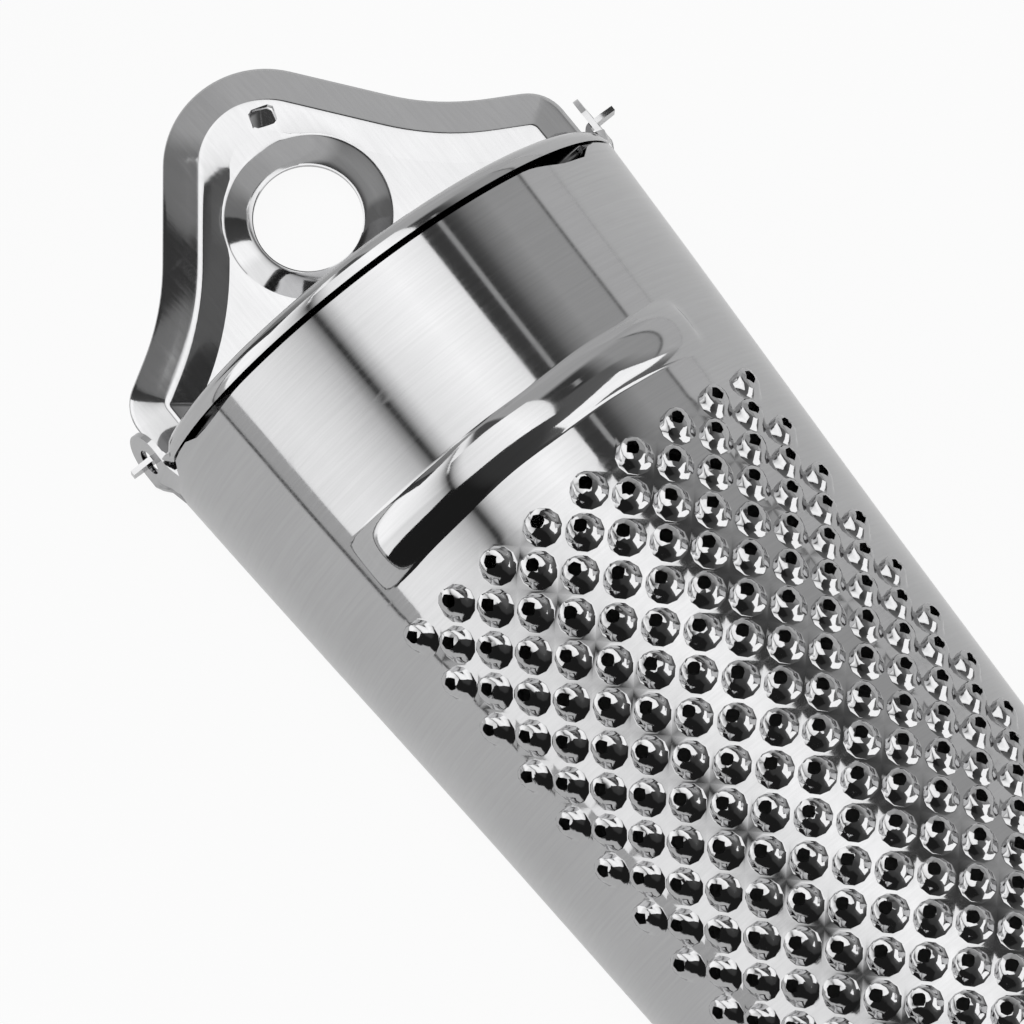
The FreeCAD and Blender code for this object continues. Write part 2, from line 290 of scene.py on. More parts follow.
def feed(tree, socket, value):
    if isinstance(value, bpy.types.NodeSocket):
        tree.links.new(value, socket)
    else:
        socket.default_value = value


def addNode(tree, kind, inputs=None, **settings):
    node = tree.nodes.new(kind)
    for key, value in settings.items():
        setattr(node, key, value)
    for key, value in (inputs or {}).items():
        feed(tree, node.inputs[key], value)
    return node


def calculate(tree, operation, *values):
    return addNode(tree, "ShaderNodeMath", dict(enumerate(values)), operation=operation).outputs[0]


def sums(tree, *operations):
    # Short calls for the named sums of one tree.
    return [lambda *values, name=name: calculate(tree, name, *values) for name in operations]


def remap(tree, value, fromLow, fromHigh, toLow=0.0, toHigh=1.0):
    inputs = dict(enumerate((value, fromLow, fromHigh, toLow, toHigh)))
    return addNode(tree, "ShaderNodeMapRange", inputs).outputs[0]


def parts(tree, vector):
    return addNode(tree, "ShaderNodeSeparateXYZ", {0: vector}).outputs


def mixShaders(tree, share, first, second):
    inputs = {0: share, 1: first.outputs[0], 2: second.outputs[0]}
    return addNode(tree, "ShaderNodeMixShader", inputs)


def grainNoise(tree, coordinates, stretch, detail, roughness=0.6):
    mapping = addNode(tree, "ShaderNodeMapping", {"Vector": coordinates, "Scale": stretch})
    return addNode(tree, "ShaderNodeTexNoise", {
        "Vector": mapping.outputs[0], "Scale": 1.0, "Detail": detail,
        "Roughness": roughness}).outputs[0]


def bump(tree, height, distance, normal=None):
    inputs = {"Distance": distance * mm, "Height": height}
    if normal is not None:
        inputs["Normal"] = normal
    return addNode(tree, "ShaderNodeBump", inputs).outputs[0]


def steel(name, finish):
    material = bpy.data.materials.new(name)
    material.use_nodes = True
    tree = material.node_tree
    add, multiply = sums(tree, "ADD", "MULTIPLY")
    place = addNode(tree, "ShaderNodeTexCoord").outputs["Object"]
    streaks = grainNoise(tree, place, finish["grain"], 4.0)
    waves = grainNoise(tree, place, finish["waves"], 1.0)
    smears = grainNoise(tree, place, finish["smears"], 3.0)
    scratches = grainNoise(tree, place, finish["scratch"], 2.0, 0.5)
    lines = remap(tree, scratches, 0.66, 0.72)
    worn = multiply(remap(tree, streaks, 0.3, 0.7, *finish["streakTone"]),
                    remap(tree, smears, 0.3, 0.75, *finish["smearTone"]))
    colour = addNode(tree, "ShaderNodeMix", {
        "Factor": 1.0, "A": (*finish["colour"], 1), "B": worn},
        data_type="RGBA", blend_type="MULTIPLY").outputs["Result"]
    rough = remap(tree, add(streaks, multiply(smears, 0.6)), 0.5, 1.15, *finish["roughness"])
    normal = bump(tree, waves, finish["waviness"])
    normal = bump(tree, streaks, finish["grainDepth"], normal)
    normal = bump(tree, lines, -finish["scratchDepth"], normal)
    tangent = addNode(tree, "ShaderNodeTangent", direction_type="UV_MAP", uv_map="grain")
    shader = tree.nodes["Principled BSDF"]
    for key, value in (("Base Color", colour), ("Metallic", 1.0),
                       ("Anisotropic", finish["anisotropy"]),
                       ("Roughness", add(rough, multiply(lines, finish["scratchRoughness"]))),
                       ("Normal", normal), ("Tangent", tangent.outputs[0])):
        feed(tree, shader.inputs[key], value)
    return material


bodyFinish = {
    "colour": (0.52, 0.52, 0.525),
    "roughness": (0.04, 0.09),
    "anisotropy": 0.5,
    "grain": (5200, 130, 130),
    "grainDepth": 0.0012,
    "streakTone": (0.96, 1.03),
    "waves": (70, 55, 55),
    "waviness": 0.05,
    "smears": (160, 90, 90),
    "smearTone": (1.02, 0.96),
    "scratch": (900, 60, 300),
    "scratchDepth": 0.001,
    "scratchRoughness": 0.05,
}
plateFinish = dict(bodyFinish, colour=(0.54, 0.54, 0.545), grain=(300, 4200, 300),
                   roughness=(0.06, 0.12), anisotropy=0.2, waviness=0.04)
innerFinish = dict(bodyFinish, colour=(0.48, 0.48, 0.485), roughness=(0.16, 0.26),
                   grain=(600, 3000, 300))
lidFinish = dict(bodyFinish, colour=(0.54, 0.54, 0.545), grain=(4000, 200, 200),
                 roughness=(0.05, 0.1))
bodySteel = steel("bodyBrushedSteel", bodyFinish)
plateSteel = steel("plateSatinSteel", plateFinish)
innerSteel = steel("innerPlainSteel", innerFinish)
lidSteel = steel("lidBrushedSteel", lidFinish)
print("materials ready")


# The grating: one tile with a tooth, then a tree that lays out the rows and rolls them up.

def tileRim(height):
    corners = [Vector((rowPitch, 0, height)), Vector((0, columnPitch, height)),
               Vector((-rowPitch, 0, height)), Vector((0, -columnPitch, height))]
    rim = []
    for index, corner in enumerate(corners):
        following = corners[(index + 1) % 4]
        rim += [corner.lerp(following, step / segments) for step in range(segments)]
    return rim


def toothRing(radius, height, edge=False):
    ring = []
    for index in range(4 * segments):
        turn = 2 * pi * index / (4 * segments)
        reach, rise = radius, height
        if edge:  # the torn edge is square, low at its corners and raised between them
            corner = index % segments == 0
            reach += toothSizes["cornerReach"] if corner else 0
            rise += -toothSizes["cornerFall"] if corner else toothSizes["petalRise"]
        leant = toothSizes["lean"] * max(0.0, height) / toothSizes["edge"][1]
        ring.append(Vector((reach * cos(turn) - leant, reach * sin(turn), rise)))
    return ring


def makeToothTile():
    build = newBuild()
    rings = [tileRim(0.0)]
    rings += [toothRing(radius, height) for radius, height in toothSizes["outside"]]
    rings.append(toothRing(*toothSizes["edge"], edge=True))
    rings += [toothRing(radius, height) for radius, height in toothSizes["inside"]]
    rings.append(tileRim(-wall))
    for outer, inner in zip(rings, rings[1:]):
        for index in range(4 * segments):
            after = (index + 1) % (4 * segments)
            addFace(build, [outer[index], outer[after], inner[after], inner[index]])
    bm = toBmesh(build)
    bmesh.ops.remove_doubles(bm, verts=bm.verts, dist=weldGap)
    return toObject(bm, "toothTile")


def makeGratingTree(inputs):
    tree = bpy.data.node_groups.new("pressedGrating", "GeometryNodeTree")
    add, subtract, multiply, divide = sums(tree, "ADD", "SUBTRACT", "MULTIPLY", "DIVIDE")
    tree.interface.new_socket("Geometry", in_out="INPUT", socket_type="NodeSocketGeometry")
    for label, kind, value in inputs:
        tree.interface.new_socket(label, in_out="INPUT", socket_type="NodeSocket" + kind)
    tree.interface.new_socket("Geometry", in_out="OUTPUT", socket_type="NodeSocketGeometry")
    given = addNode(tree, "NodeGroupInput").outputs
    spanRows = multiply(subtract(given["Rows"], 1.0), given["Row Pitch"])
    spanColumns = multiply(subtract(given["Columns"], 1.0), given["Column Pitch"])
    grid = addNode(tree, "GeometryNodeMeshGrid", {
        "Size X": spanRows, "Size Y": spanColumns,
        "Vertices X": given["Rows"], "Vertices Y": given["Columns"]})
    place = parts(tree, addNode(tree, "GeometryNodeInputPosition").outputs[0])

    def indexAlong(position, span, pitch):
        return calculate(tree, "ROUND", divide(add(position, divide(span, 2.0)), pitch))

    both = add(indexAlong(place[0], spanRows, given["Row Pitch"]),
               indexAlong(place[1], spanColumns, given["Column Pitch"]))
    odd = calculate(tree, "GREATER_THAN", calculate(tree, "MODULO", both, 2.0), 0.5)
    staggered = addNode(tree, "GeometryNodeDeleteGeometry", {
        "Geometry": grid.outputs["Mesh"], "Selection": odd}, domain="POINT")
    tooth = addNode(tree, "GeometryNodeObjectInfo", {"Object": given["Tooth"]})
    placed = addNode(tree, "GeometryNodeInstanceOnPoints", {
        "Points": staggered.outputs[0], "Instance": tooth.outputs["Geometry"]})
    real = addNode(tree, "GeometryNodeRealizeInstances", {0: placed.outputs[0]})
    joined = addNode(tree, "GeometryNodeMergeByDistance", {
        "Geometry": real.outputs[0], "Distance": weldGap})

    # the torn edges differ from tooth to tooth, and so do the heights
    torn = addNode(tree, "FunctionNodeRandomValue", {"Seed": given["Seed"]},
                   data_type="FLOAT_VECTOR")
    vectors = [socket for socket in torn.inputs if socket.type == "VECTOR"]
    for socket, limit in zip(vectors, (-1, 1)):
        socket.default_value = (limit, limit, limit)
    nearEdge = calculate(tree, "GREATER_THAN", place[2],
                         toothSizes["tornFrom"] * toothSizes["edge"][1] * mm)
    shake = addNode(tree, "ShaderNodeVectorMath", {
        0: torn.outputs[0], "Scale": multiply(nearEdge, given["Raggedness"])}, operation="SCALE")
    ragged = addNode(tree, "GeometryNodeSetPosition", {
        "Geometry": joined.outputs[0], "Offset": shake.outputs[0]})
    uneven = addNode(tree, "ShaderNodeTexNoise", {
        "Scale": gratingSizes["unevenScale"], "Detail": 0.0})
    change = multiply(subtract(uneven.outputs[0], 0.5), given["Height Change"])
    lift = add(place[2], multiply(calculate(tree, "MAXIMUM", place[2], 0.0), change))

    drop = add(add(place[0], given["First Drop"]), divide(spanRows, 2.0))
    radius = subtract(given["Mouth Radius"], multiply(given["Taper"], drop))
    angle = divide(place[1], radius)
    reach = add(radius, lift)
    rolledPlace = addNode(tree, "ShaderNodeCombineXYZ", {
        0: add(drop, given["Lid Top"]),
        1: multiply(reach, calculate(tree, "SINE", angle)),
        2: add(given["Centre Height"], multiply(reach, calculate(tree, "COSINE", angle)))})
    rolled = addNode(tree, "GeometryNodeSetPosition", {
        "Geometry": ragged.outputs[0], "Position": rolledPlace.outputs[0]})
    realAgain = addNode(tree, "GeometryNodeRealizeInstances", {0: rolled.outputs[0]})
    painted = addNode(tree, "GeometryNodeSetMaterial", {
        "Geometry": realAgain.outputs[0], "Material": given["Steel"]})
    addNode(tree, "NodeGroupOutput", {0: painted.outputs[0]})
    return tree


def makeGratingMesh():
    tile = makeToothTile()
    holder = addObject("gratingHolder", bpy.data.meshes.new("gratingHolder"))
    inputs = [("Tooth", "Object", tile), ("Steel", "Material", bodySteel),
              ("Rows", "Int", gratingSizes["rows"]),
              ("Columns", "Int", 2 * gratingSizes["columnsEachSide"] + 1),
              ("Row Pitch", "Float", rowPitch * mm),
              ("Column Pitch", "Float", columnPitch * mm),
              ("First Drop", "Float", firstDrop * mm),
              ("Lid Top", "Float", lidTop * mm), ("Centre Height", "Float", centreHeight * mm),
              ("Mouth Radius", "Float", mouthRadius * mm), ("Taper", "Float", taper),
              ("Raggedness", "Float", gratingSizes["raggedness"] * mm),
              ("Height Change", "Float", gratingSizes["heightChange"]),
              ("Seed", "Int", gratingSizes["seed"])]
    modifier = holder.modifiers.new("pressedGrating", "NODES")
    modifier.node_group = makeGratingTree(inputs)
    values = {label: value for label, kind, value in inputs}
    for item in modifier.node_group.interface.items_tree:
        if item.in_out == "INPUT" and item.name in values:
            modifier[item.identifier] = values[item.name]
    mesh = takeMesh(holder, tile)
    print("grating:", len(mesh.polygons), "faces")
    return mesh


# The plain stretches of the body round the grating.

def ribPlace(arc):
    # The rib's middle and half width, which grow a little towards its ends.
    share = min(1.0, abs(arc) / ribHalfArc) ** 2
    pace, offset = sheetSizes["wanderWave"]
    middle = sheetSizes["ribDrop"] + sheetSizes["ribShift"] * share
    middle += sheetSizes["ribWander"] * sin(pace * arc + offset) * (1 - share)
    return middle, sheetSizes["ribHalfWidth"] + sheetSizes["ribWidening"] * share


def ribLift(drop, arc):
    middle, width = ribPlace(arc)
    pace, offset = sheetSizes["unevenWave"]
    height = sheetSizes["ribHeight"] * (1 + sheetSizes["ribUneven"] * sin(pace * arc + offset))
    radius = (width ** 2 + height ** 2) / (2 * height)
    across = min(width, abs(drop - middle))
    lift = sqrt(radius ** 2 - across ** 2) - (radius - height)
    beyond = min(1.0, max(0.0, abs(arc) - ribHalfArc) / sheetSizes["ribFade"])
    return lift * sqrt(1 - beyond ** 2)


def alongRib(drop, arc):
    # The rows of the sheet bend so that some of them follow the rib's edges.
    middle, width = ribPlace(arc)
    if ribStart <= drop <= ribStop:
        return middle - width + (drop - ribStart) * width / sheetSizes["ribHalfWidth"]
    if drop < ribStart:
        bend = smoothStep(ribStart - sheetSizes["rowBend"], ribStart, drop)
        return drop + (middle - width - ribStart) * bend
    return drop + (middle + width - ribStop) * smoothStep(gratingStart, ribStop, drop)


def notchedDrop(drop, arc):
    # The rim is cut back in two places where a finger nail reaches the lid.
    # Beyond them it stands higher, close under the lid, as far as the lugs.
    angle = degrees(abs(arc) / radiusAt(drop))
    start, end, depth = (sheetSizes[key][arc > 0]
                         for key in ("notchStarts", "notchEnds", "notchDepths"))
    blend = sheetSizes["notchBlend"]
    before, after = sheetSizes["shoulderStart"]
    beyond = smoothStep(end - before, end + after, angle)
    cut = depth * (smoothStep(start - blend, start + blend, angle) - beyond)
    cut -= sheetSizes["shoulderRise"] * (beyond - smoothStep(*sheetSizes["shoulderEnd"], angle))
    fade = max(0.0, 1 - (drop - rimDrop) / sheetSizes["notchFade"])
    return drop + cut * fade


def sheetPair(drop, arc):
    drop = alongRib(drop, arc)
    lift = ribLift(drop, arc)
    cutDrop = notchedDrop(drop, arc)
    return (onSheet(cutDrop, arc, lift), onSheet(cutDrop, arc, lift - wall))


def sidePairs(drop, side):
    # From the edge of the middle stretch down the side, round the bend and along the lip.
    bend = sheetSizes["lipBend"]
    radius = radiusAt(drop)
    start = gratingEdge / radius
    end = acos((bend - centreHeight) / radius)
    pairs = []
    for step in range(sideSteps + 1):
        arc = radius * (start + (end - start) * step / sideSteps)
        pairs.append(sheetPair(drop, side * arc))
    x = pairs[-1][0].x
    wallY = radius * sin(end)
    for step in range(1, bendSteps + 1):
        turn = radians(90 * step / bendSteps)
        pairs.append(tuple(
            Vector((x, side * (wallY - bend + reach * cos(turn)),
                    bend - reach * sin(turn))) for reach in (bend, bend - wall)))
    inside = radius - wall - sheetSizes["lipWidth"]
    for y in (side * (inside + sheetSizes["lipEdge"]), side * inside):
        pairs.append((Vector((x, y, 0)), Vector((x, y, wall))))
    return pairs


def addFlatFace(build, corners):
    for lift in (0.0, -wall):
        addFace(build, [onSheet(drop, arc, lift) for drop, arc in corners])


def addHalfTile(build, tip, first, second):
    # Half of a tile without a tooth, which squares off the edge of the grating.
    def corner(row, column):
        return tuple(t + ((a - t) * (row - column) + (b - t) * column) / segments
                     for t, a, b in zip(tip, first, second))

    for row in range(segments):
        for column in range(row + 1):
            addFlatFace(build, [corner(row, column), corner(row + 1, column),
                                corner(row + 1, column + 1)])
            if column < row:
                addFlatFace(build, [corner(row, column), corner(row + 1, column + 1),
                                    corner(row, column + 1)])


def addGratingBorder(build):
    each = gratingSizes["columnsEachSide"]
    rows = gratingSizes["rows"]

    def spot(row, column):
        return (firstDrop + row * rowPitch, column * columnPitch)

    for column in range(-each + 1, each, 2):
        addHalfTile(build, spot(0, column), spot(-1, column - 1), spot(-1, column + 1))
    for column in range(-each, each + 1, 2):
        addHalfTile(build, spot(rows - 1, column), spot(rows, column - 1), spot(rows, column + 1))
    for side in (-1, 1):
        for row in range(1, rows, 2):
            addHalfTile(build, spot(row, side * each), spot(row - 1, side * (each + 1)),
                        spot(row + 1, side * (each + 1)))
        corner = spot(-1, side * (each + 1))
        steps = linePoints(spot(0, side * (each + 1)), spot(-1, side * each), segments)
        for first, second in zip(steps, steps[1:]):
            addFlatFace(build, [corner, first, second])


def makeBodySheet():
    build = newBuild()
    each = gratingSizes["columnsEachSide"]
    steps = each * segments
    coarse = [-gratingEdge]
    coarse += [-each * columnPitch + 2 * each * columnPitch * step / steps
               for step in range(steps + 1)]
    coarse.append(gratingEdge)
    fine = [coarse[0]]
    for first, second in zip(coarse, coarse[1:]):
        fine += [(first + second) / 2, second]
    ribSteps = 22
    drops = [rimDrop + fall for fall in (0, 0.12, 0.4, 0.9, 1.6, 2.5, 3.6, 5.2)]
    drops += [8.5, 10.5, 12.5, ribStart - 0.9, ribStart - 0.35, ribStart - 0.1]
    drops += [ribStart + (ribStop - ribStart) * step / ribSteps for step in range(ribSteps + 1)]
    drops += [ribStop + 0.1, ribStop + 0.35, ribStop + 0.8, gratingStart - 0.2]
    rows = [[sheetPair(drop, arc) for arc in fine] for drop in drops]
    addSheet(build, rows)
    addEdge(build, rows[0])
    last = rows[-1]
    lastCoarse = [sheetPair(gratingStart, arc) for arc in coarse]
    for layer in (0, 1):
        for index in range(len(coarse) - 1):
            addFace(build, [last[2 * index][layer], last[2 * index + 1][layer],
                            last[2 * index + 2][layer], lastCoarse[index + 1][layer],
                            lastCoarse[index][layer]])
    addGratingBorder(build)

    steps = (each + 1) * segments
    footArcs = [-gratingEdge + 2 * gratingEdge * step / steps for step in range(steps + 1)]
    footSteps = 3
    footDrops = [gratingEnd + (sheetSizes["footDrop"] - gratingEnd) * step / footSteps
                 for step in range(footSteps + 1)]
    footRows = [[sheetPair(drop, arc) for arc in footArcs] for drop in footDrops]
    addSheet(build, footRows)
    addEdge(build, footRows[-1])

    sideDrops = drops + [gratingStart, firstDrop]
    halfTiles = gratingSizes["rows"] // 2
    sideDrops += [firstDrop + 2 * rowPitch * step / segments
                  for step in range(1, halfTiles * segments + 1)]
    sideDrops += footDrops[1:]
    for side in (-1, 1):
        addEdgedSheet(build, [sidePairs(drop, side) for drop in sideDrops], (-1,))
    return build


def addLug(build, side):
    # A rounded lug beside the mouth, spread clear of the tab, with the hinge hole.
    radius = lugSizes["radius"]
    rimX = lidTop + rimDrop
    pivotX = lidTop - lugSizes["pivotRise"]
    pivotZ = lugSizes["pivotHeight"]
    length = rimX + lugSizes["root"] - pivotX
    spreadStart, spreadEnd = lugSizes["spreadRun"]

    def pair(x, z):
        spread = 1 - smoothStep(rimX - spreadStart, rimX + spreadEnd, x)
        wallRadius = radiusAt(max(rimDrop, x - lidTop))
        onWall = sqrt(wallRadius ** 2 - (z - centreHeight) ** 2)
        y = (onWall - lugSizes["sink"]) * (1 - spread)
        y += (radiusAt(rimDrop) + lugSizes["spread"] - lugSizes["lean"] * (z - pivotZ)) * spread
        return (Vector((x, side * y, z)), Vector((x, side * (y - wall), z)))

    cornerTurn = degrees(atan2(radius, length))
    turns = sorted([index * 10.0 for index in range(36)] + [cornerTurn, 360 - cornerTurn])
    turns.append(360.0)
    rings = []
    for share in (0, 0.25, 0.5, 0.75, 1):
        ring = []
        for turn in turns:
            along, up = cos(radians(turn)), sin(radians(turn))
            reach = radius
            if along > 0:
                reach = min(length / along, radius / abs(up) if up else length)
            distance = lugSizes["hole"] + (reach - lugSizes["hole"]) * share
            ring.append(pair(pivotX + along * distance, pivotZ + up * distance))
        rings.append(ring)
    addEdgedSheet(build, rings)


def makeBody():
    build = makeBodySheet()
    for side in (-1, 1):
        addLug(build, side)
    bm = toBmesh(build)
    bm.from_mesh(makeGratingMesh())
    weld(bm, "graterShell", "grater", "grater_body", bodySteel)


makeBody()


# The hanging tab and the back plate, one sheet.
plateSizes = {
    "tabRise": 21.03,
    "tabHalfWidth": 19.2,
    "endDrop": 1.4,
    "endSlope": 0.2,
    "tipRadius": 7.4,
    "flankAngle": 52.0,
    "flankLength": 7.3,
    "waistRadius": 20.0,
    "shoulderAngle": 31.0,
    "cornerRadius": 3.2,
    "leastRadius": 0.4,
    "rightStretch": 0.4,
    "stretchFrom": (11.0, 18.5),
    "borderWidth": 2.5,
    "borderProfile": [(0.0, 0.05), (0.06, 0.14), (0.3, 0.3), (1.0, 0.69), (1.7, 1.06), (2.2, 1.31),
                      (2.38, 1.41), (2.45, 1.44), (2.55, 1.45)],
    "tipWidening": 0.13,
    "crestWidth": 0.2,
    "crestHeight": 1.45,
    "panelHeight": 0.8,
    "panelTilt": 0.1,
    "tiltLength": 12.0,
    "rampStart": 13.0,
    "rampEnd": 17.0,
    "rampShort": 0.08,
    "rightRise": 7.0,
    "dishSlope": 1.8,
    "dishRound": 0.12,
    "dishLip": 0.04,
    "holeRise": 8.55,
    "holeRadius": 3.95,
    "collarRadius": 6.1,
    "collarClear": 0.15,
    "collarFoot": 0.1,
    "collarProfile": [(0, 0.01), (0.12, 0.07), (0.3, 0.17), (1.0, 0.54), (1.6, 0.86)],
    "holeProfile": [(0.2, 0.97), (0.07, 1.0), (0, 0.985)],
    "holeShift": (-0.28, -0.33),
    "collarRise": 1.3,
    "plateDrop": 20.5,
    "plateDrops": (0.05, 8.0, 14.0),
    "plateLap": 0.6,
    "fitGap": 0.1,
    "markRise": 16.4,
    "markOffset": 1.95,
    "markLength": 1.5,
    "markWidth": 1.9,
    "markDepth": 0.04,
    "markSlant": 8.5,
    "markTurn": 18.0,
    "markFoot": 0.92,
    "punchHead": (2, 1.2),
    "markPoints": 16,
    "markSquareness": 6,
}


def arcPoints(centre, radius, startAngle, endAngle, count):
    # Places as (across, rise), the angles measured from the tip's direction.
    points = []
    for step in range(count + 1):
        turn = radians(startAngle + (endAngle - startAngle) * step / count)
        points.append((centre[0] + radius * sin(turn), centre[1] + radius * cos(turn)))
    return points


def tabHalf(inset):
    flank = plateSizes["flankAngle"]
    shoulder = plateSizes["shoulderAngle"]
    tipCentre = plateSizes["tabRise"] - plateSizes["tipRadius"] - plateSizes["tipWidening"] * inset
    tip = arcPoints((0, tipCentre), plateSizes["tipRadius"] - inset, 0, flank, 14)
    turn = radians(flank)
    along = plateSizes["flankLength"]
    waistStart = (tip[-1][0] + cos(turn) * along, tip[-1][1] - sin(turn) * along)
    hollow = plateSizes["waistRadius"] + inset
    waist = arcPoints((waistStart[0] + hollow * sin(turn),
                       waistStart[1] + hollow * cos(turn)),
                      hollow, flank + 180, shoulder + 180, 10)
    rounding = max(plateSizes["cornerRadius"] - inset, plateSizes["leastRadius"])
    cornerY = plateSizes["tabHalfWidth"] - inset - rounding
    fall = (cornerY + rounding * sin(radians(shoulder)) - waist[-1][0]) * tan(radians(shoulder))
    cornerRise = waist[-1][1] - fall - rounding * cos(radians(shoulder))
    corner = arcPoints((cornerY, cornerRise), rounding, shoulder, 90, 8)
    end = (corner[-1][0], plateSizes["endSlope"] * inset - plateSizes["endDrop"])
    return (tip + linePoints(tip[-1], waistStart, 10)[1:] + waist[1:]
            + linePoints(waist[-1], corner[0], 5)[1:] + corner[1:]
            + linePoints(corner[-1], end, 5)[1:] + linePoints(end, (0, end[1]), 20)[1:])


def dishHalf(inset):
    # The dish follows the tab's outline and keeps clear of the collar.
    clear = plateSizes["collarRadius"] + plateSizes["collarClear"]
    centre = plateSizes["holeRise"]
    places = []
    for across, rise in tabHalf(plateSizes["borderWidth"] + plateSizes["crestWidth"] + inset):
        distance = hypot(across, rise - centre)
        if distance < clear and rise > 0:
            across *= clear / distance
            rise = centre + (rise - centre) * clear / distance
        places.append((across, rise))
    return places


def circleHalf(radius, count):
    return arcPoints((0, plateSizes["holeRise"]), radius, 0, 180, count)


def panelAt(rise, across=0.0):
    # The panel's height: it falls a little towards the mouth, and runs up to the crest at the
    # tip and on the right.
    crest = plateSizes["crestHeight"] - plateSizes["rampShort"]
    tilt = plateSizes["panelTilt"] * max(0.0, rise) / plateSizes["tiltLength"]
    sunk = plateSizes["panelHeight"] + tilt
    up = max(smoothStep(plateSizes["rampStart"], plateSizes["rampEnd"], rise),
             smoothStep(0.0, plateSizes["rightRise"], across))
    return sunk + (crest - sunk) * up


def squarePunch():
    rise = plateSizes["markRise"]
    half = (plateSizes["markLength"] / 2, plateSizes["markWidth"] / 2)
    depth = panelAt(rise, plateSizes["markOffset"]) - plateSizes["markDepth"]
    turned = radians(plateSizes["markTurn"])
    count, power = plateSizes["markPoints"], plateSizes["markSquareness"]
    ring = []
    for index in range(count):
        turn = 2 * pi * (index + 0.5) / count
        along, across = cos(turn), sin(turn)
        reach = 1 / (abs(along) ** power + abs(across) ** power) ** (1 / power)
        x, y = along * reach * half[0], across * reach * half[1]
        ring.append((x * cos(turned) + y * sin(turned),
                     y * cos(turned) - x * sin(turned)))
    fall = tan(radians(plateSizes["markSlant"]))
    struck = bmesh.new()
    layers = []
    headRise, headShare = plateSizes["punchHead"]
    for height, share, slant in ((depth, plateSizes["markFoot"], fall),
                                 (depth + plateSizes["markDepth"], 1.0, 0),
                                 (depth + headRise, headShare, 0)):
        layers.append([struck.verts.new(Vector((
            lidTop - rise + x * share, plateSizes["markOffset"] + y * share,
            height - slant * (y + half[1]))) * mm) for x, y in ring])
    struck.faces.new(layers[0])
    struck.faces.new(layers[-1])
    for low, high in zip(layers, layers[1:]):
        for index in range(count):
            after = (index + 1) % count
            struck.faces.new([low[index], low[after], high[after], high[index]])
    bmesh.ops.recalc_face_normals(struck, faces=struck.faces)
    return struck


def coined(bm):
    # A small blank square is struck into the panel beside the tip.
    bmesh.ops.remove_doubles(bm, verts=bm.verts, dist=weldGap)
    bmesh.ops.recalc_face_normals(bm, faces=bm.faces)
    blank = toObject(bm, "plateBlank")
    punch = toObject(squarePunch(), "squarePunch")
    strike = blank.modifiers.new("strike", "BOOLEAN")
    strike.operation = "DIFFERENCE"
    strike.object = punch
    bm = bmesh.new()
    bm.from_mesh(takeMesh(blank, punch))
    return bm


def makeHangerPlate():
    crest = plateSizes["crestHeight"]
    hole = plateSizes["holeRadius"]
    collar = plateSizes["collarRadius"]
    slope = plateSizes["dishSlope"]
    count = len(tabHalf(0)) - 1

    def ring(half, height, shift=(0, 0)):
        # A height is a number, or worked out from the place.
        whole = half + [(-across, rise) for across, rise in half[-2:0:-1]]
        whole.append(whole[0])
        pairs = []
        for across, rise in whole:
            across, rise = across + shift[0], rise + shift[1]
            across += plateSizes["rightStretch"] * smoothStep(*plateSizes["stretchFrom"], across)
            top = height(rise, across) if callable(height) else height
            x = lidTop - rise
            pairs.append((Vector((x, across, top)), Vector((x, across, max(0.0, top - wall)))))
        return pairs

    rings = [ring(tabHalf(inset), height) for inset, height in plateSizes["borderProfile"]]
    rings.append(ring(dishHalf(-plateSizes["dishLip"]), crest))

    def dished(share):
        # down the dish's side, with a small round at its top and foot
        eased = 0.5 - 0.5 * cos(pi * share)
        straight = plateSizes["dishRound"] * eased + (1 - plateSizes["dishRound"]) * share
        return lambda rise, across: crest + (panelAt(rise, across) - crest) * straight

    for share in (0.02, 0.06, 0.3, 0.6, 0.9, 0.97, 1.0):
        rings.append(ring(dishHalf(slope * share), dished(share)))
    inner = dishHalf(slope)
    foot = circleHalf(collar + plateSizes["collarFoot"], count)
    for share in (0.08, 0.25, 0.45, 0.65, 0.85, 1.0):
        rings.append(ring([between(p, q, share) for p, q in zip(inner, foot)], panelAt))

    # the collar round the hole rises out of the panel
    top = panelAt(plateSizes["holeRise"]) + plateSizes["collarRise"]

    def collared(share):
        return lambda rise, across: (panelAt(rise, across) * (1 - share) + top * share)

    profile = [(collar - inset, share) for inset, share in plateSizes["collarProfile"]]
    profile += [(hole + outset, share) for outset, share in plateSizes["holeProfile"]]
    for radius, share in profile:
        shift = (plateSizes["holeShift"][0] * share, plateSizes["holeShift"][1] * share)
        rings.append(ring(circleHalf(radius, count), collared(share), shift))
    build = newBuild()
    addEdgedSheet(build, rings)

    # the flat tongue that closes the back of the compartment
    panel = plateSizes["panelHeight"]
    end = plateSizes["endDrop"]
    innerHalf = plateSizes["tabHalfWidth"] - plateSizes["borderWidth"] - slope - 1
    halves = [(-end + plateSizes["plateLap"], innerHalf), (-end, innerHalf)]
    first, *others = plateSizes["plateDrops"]
    for drop in (end + first, *others, plateSizes["plateDrop"]):
        halves.append((-drop, radiusAt(drop) - wall - plateSizes["fitGap"]))
    steps = 8
    rows = [[tuple(Vector((lidTop - rise, half * step / steps, z)) for z in (panel, panel - wall))
             for step in range(-steps, steps + 1)] for rise, half in halves]
    addEdgedSheet(build, rows, (0, -1))
    weld(coined(toBmesh(build)), "hangingTab", "grater", "hanger_plate",
         plateSteel, 30.0)


makeHangerPlate()


